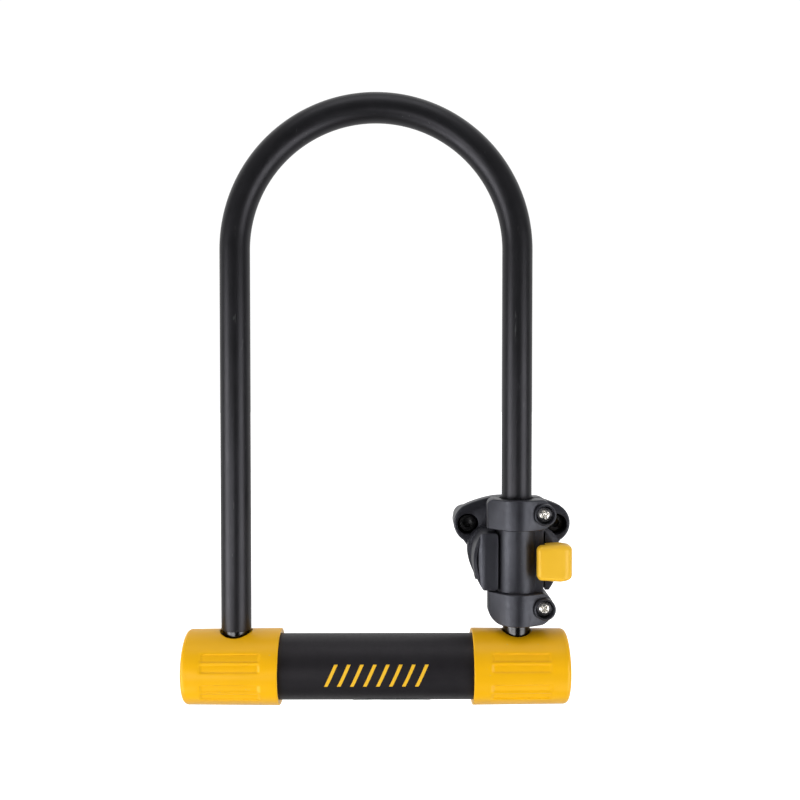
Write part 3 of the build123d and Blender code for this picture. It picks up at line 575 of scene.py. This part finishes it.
def screw_head(bm, points, turn):
    """One domed head and its shaft, in the place of a CAD screw's points."""
    low = Vector([min(p[i] for p in points) for i in range(3)])
    high = Vector([max(p[i] for p in points) for i in range(3)])
    head_r = (high.x - low.x) / 2
    centre_x, centre_z = (low.x + high.x) / 2, (low.z + high.z) / 2
    under_y = low.y + HEAD_HEIGHT
    cos_turn, sin_turn = cos(radians(turn)), sin(radians(turn))

    def ring(radius, y_of):
        verts = []
        for i in range(SCREW_SIDES):
            angle = 2 * pi * i / SCREW_SIDES
            x, z = radius * cos(angle), radius * sin(angle)
            verts.append(bm.verts.new((centre_x + x, y_of(x, z), centre_z + z)))
        return verts

    def dome(x, z):
        share = min(1.0, hypot(x, z) / head_r)
        crown = low.y + DOME_RISE * share ** DOME_POWER
        return crown + recess_depth(x * cos_turn + z * sin_turn, z * cos_turn - x * sin_turn)

    rings = [ring(head_r * step / DOME_STEPS, dome) for step in range(1, DOME_STEPS + 1)]
    for radius, y in ((head_r, under_y), (SHAFT_R, under_y), (SHAFT_R, high.y)):
        rings.append(ring(radius, lambda x, z, y=y: y))
    bm.faces.new(rings[0])
    bridge(bm, *rings)
    bm.faces.new(rings[-1])


def screw_heads():
    """Domed cross-head screws in the carrier, each with its shaft."""
    vertices = frame["nodes"]["carrier_screws"].data.vertices
    middle_z = sum(v.co.z for v in vertices) / len(vertices)
    bm = bmesh.new()
    for side, turn in SCREW_TURNS.items():
        screw_head(bm, [v.co for v in vertices if (v.co.z - middle_z) * side > 0], turn)
    mesh = mesh_from("screw_heads", bm, SCREW_EDGE_ANGLE)
    piece("screw_heads", mesh, "carrier", SLOT_OF["carrier_screws"], "carrier_screws")


# ---------------------------------------------------------------- print on the crossbar
PRINT_BARS = 8
PRINT_PITCH, PRINT_WIDTH = 5.8 * MM, 1.6 * MM
PRINT_LOW, PRINT_HIGH = -0.34, 0.34             # radians above the horizontal
PRINT_LEAN = 4.6 * MM
PRINT_THICK = 0.03 * MM
PRINT_STEPS = 8


def print_bars():
    """Plain slanted bars printed on the front of the tube."""
    top_r = TUBE_R + PRINT_THICK
    bm = bmesh.new()

    def vertex(x, radius, angle):
        y, z = bar_middle.y - radius * cos(angle), bar_middle.z + radius * sin(angle)
        return bm.verts.new((x, y, z))

    for bar in range(PRINT_BARS):
        start = bar_middle.x + (bar - PRINT_BARS / 2) * PRINT_PITCH
        rows = []
        for step in range(PRINT_STEPS + 1):
            share = step / PRINT_STEPS
            angle = PRINT_LOW + (PRINT_HIGH - PRINT_LOW) * share
            left = start + PRINT_LEAN * share
            right = left + PRINT_WIDTH
            corners = ((left, TUBE_R), (left, top_r), (right, top_r), (right, TUBE_R))
            rows.append([vertex(x, radius, angle) for x, radius in corners])
        bridge(bm, *rows)
        bm.faces.new(rows[0])
        bm.faces.new(rows[-1])
    piece("front_print", mesh_from("front_print", bm), "crossbar", "button_yellow")


# ---------------------------------------------------------------- pieces
# width of the rounded edges of the softened nodes in mm, by body
SOFTENED = {
    "frame_mount": {"clamp_front": 0.4, "clamp_rear": 0.5, "receiver": 0.35, "clamp_bolts": 0.12,
                    "clamp_nuts": 0.15, "receiver_screws": 0.12},
    "carrier": {"carrier_shell": 0.35, "carrier_nuts": 0.12},
    "button": {"release_button": 0.5},
}

sleeve()
boot("boot_left_skin", "end_boot_left", LEFT_LEG_X, LEFT_HOLE_R)
boot("boot_right_skin", "end_boot_right", RIGHT_LEG_X, RIGHT_HOLE_R)
screw_heads()
print_bars()
for body_name, nodes in SOFTENED.items():
    for node_name, edge_mm in nodes.items():
        softened(node_name, body_name, edge_mm * MM)
for node_name, node_object in frame["nodes"].items():
    node_object.data.materials.clear()
    node_object.data.materials.append(MATERIALS[SLOT_OF[node_name]])


# ---------------------------------------------------------------- stage, light and camera
FLOOR_DROP = 0.18                               # below the lock, clear of every pose
FLOOR_RADIUS, FLOOR_SIDES = 8.0, 96
FLOOR_GLOW = 0.85                               # keeps it as white as the backdrop
BACKDROP_STRENGTH = 1.05                        # of the white that the camera sees

# direction, height, distance, (width, height) and power of each soft light: the angles are in
# degrees from the front and up, the lengths in metres
SOFTBOXES = {
    "left_softbox": (-60, -20, 0.9, (0.5, 0.85), 7.6),
    "right_softbox": (50, -20, 0.9, (0.55, 0.85), 5.9),
    "top_softbox": (0, 68, 1.0, (0.8, 0.5), 2.1),
    "front_low_softbox": (-25, -20, 0.9, (0.45, 0.25), 1.7),
    "left_low_softbox": (-50, -52, 0.9, (0.5, 0.3), 1.1),
    "right_low_softbox": (45, -52, 0.9, (0.5, 0.3), 1.1),
}

# axis of the direction, where the glow starts and ends along it, and its low and high strength
WORLD_GLOW = (("Y", -0.35, 0.55, 0.06, 1.0), ("Z", 0.1, 0.75, 0.0, 0.36))

LENS = 41.91                                    # focal length in mm
CAMERA_PLACE = Vector((8.17, -426.3, 134.0)) * MM   # from the middle of the crossbar
CAMERA_TILT, CAMERA_PAN = radians(88.48), radians(-0.36)
NEAREST, FARTHEST = 0.01, 50                    # that the camera sees


def floor():
    """Plain white floor, left out of the lock's reflections and of the light on it."""
    bm = bmesh.new()
    bmesh.ops.create_circle(bm, cap_ends=True, segments=FLOOR_SIDES, radius=FLOOR_RADIUS)
    mesh = bpy.data.meshes.new("floor")
    bm.to_mesh(mesh)
    bm.free()
    obj = bpy.data.objects.new("floor", mesh)
    obj.location = (bar_middle.x, bar_middle.y, cad_box[0].z - FLOOR_DROP)
    bpy.context.scene.collection.objects.link(obj)
    m = Shader("floor_white", Emission_Strength=FLOOR_GLOW)
    m.shader.inputs["Emission Color"].default_value = (1, 1, 1, 1)
    m.colour(m.spread(m.noise(3), 0.90, 0.93))
    m.roughness(m.spread(m.noise(8), 0.8, 0.9))
    obj.data.materials.append(m.material)
    obj.visible_diffuse = False
    obj.visible_glossy = False


def softbox(name, azimuth, elevation, distance, size, power):
    """Rectangular soft light that looks at the middle of the lock."""
    middle = (cad_box[0] + cad_box[1]) / 2
    a, e = radians(azimuth), radians(elevation)
    back = Vector((sin(a) * cos(e), -cos(a) * cos(e), sin(e)))
    lamp = bpy.data.lights.new(name, "AREA")
    lamp.shape = "RECTANGLE"
    lamp.size, lamp.size_y = size
    lamp.energy = power
    obj = bpy.data.objects.new(name, lamp)
    obj.location = middle + back * distance
    obj.rotation_mode = "QUATERNION"
    obj.rotation_quaternion = back.to_track_quat("Z", "Y")
    bpy.context.scene.collection.objects.link(obj)


def surroundings():
    """White behind the lock, softer above and dim in front; the background itself is white."""
    world = bpy.data.worlds.new("studio")
    bpy.context.scene.world = world
    world.use_nodes = True
    tree = world.node_tree
    tree.nodes.clear()
    links = tree.links
    place = tree.nodes.new("ShaderNodeTexCoord")
    split = tree.nodes.new("ShaderNodeSeparateXYZ")
    total = tree.nodes.new("ShaderNodeMath")
    for term, (axis, *spans) in zip(total.inputs, WORLD_GLOW):
        share = tree.nodes.new("ShaderNodeMapRange")
        share.interpolation_type = "SMOOTHSTEP"
        for socket, value in zip(("From Min", "From Max", "To Min", "To Max"), spans):
            share.inputs[socket].default_value = value
        links.new(split.outputs[axis], share.inputs["Value"])
        links.new(share.outputs["Result"], term)
    studio = tree.nodes.new("ShaderNodeBackground")
    white = tree.nodes.new("ShaderNodeBackground")
    white.inputs["Color"].default_value = (1, 1, 1, 1)
    white.inputs["Strength"].default_value = BACKDROP_STRENGTH
    path = tree.nodes.new("ShaderNodeLightPath")
    choose = tree.nodes.new("ShaderNodeMixShader")
    output = tree.nodes.new("ShaderNodeOutputWorld")
    links.new(place.outputs["Generated"], split.inputs["Vector"])
    links.new(total.outputs["Value"], studio.inputs["Strength"])
    links.new(path.outputs["Is Camera Ray"], choose.inputs["Fac"])
    links.new(studio.outputs["Background"], choose.inputs[1])
    links.new(white.outputs["Background"], choose.inputs[2])
    links.new(choose.outputs["Shader"], output.inputs["Surface"])


def camera():
    """Camera at the place that fits the legs, the bend and the crossbar of the photo."""
    lens = bpy.data.cameras.new("camera")
    lens.lens = LENS
    lens.clip_start, lens.clip_end = NEAREST, FARTHEST
    obj = bpy.data.objects.new("camera", lens)
    obj.location = bar_middle + CAMERA_PLACE
    obj.rotation_euler = (CAMERA_TILT, 0, CAMERA_PAN)
    bpy.context.scene.collection.objects.link(obj)
    bpy.context.scene.camera = obj


floor()
for softbox_name, settings in SOFTBOXES.items():
    softbox(softbox_name, *settings)
surroundings()
camera()
bpy.context.scene.view_settings.view_transform = "Standard"
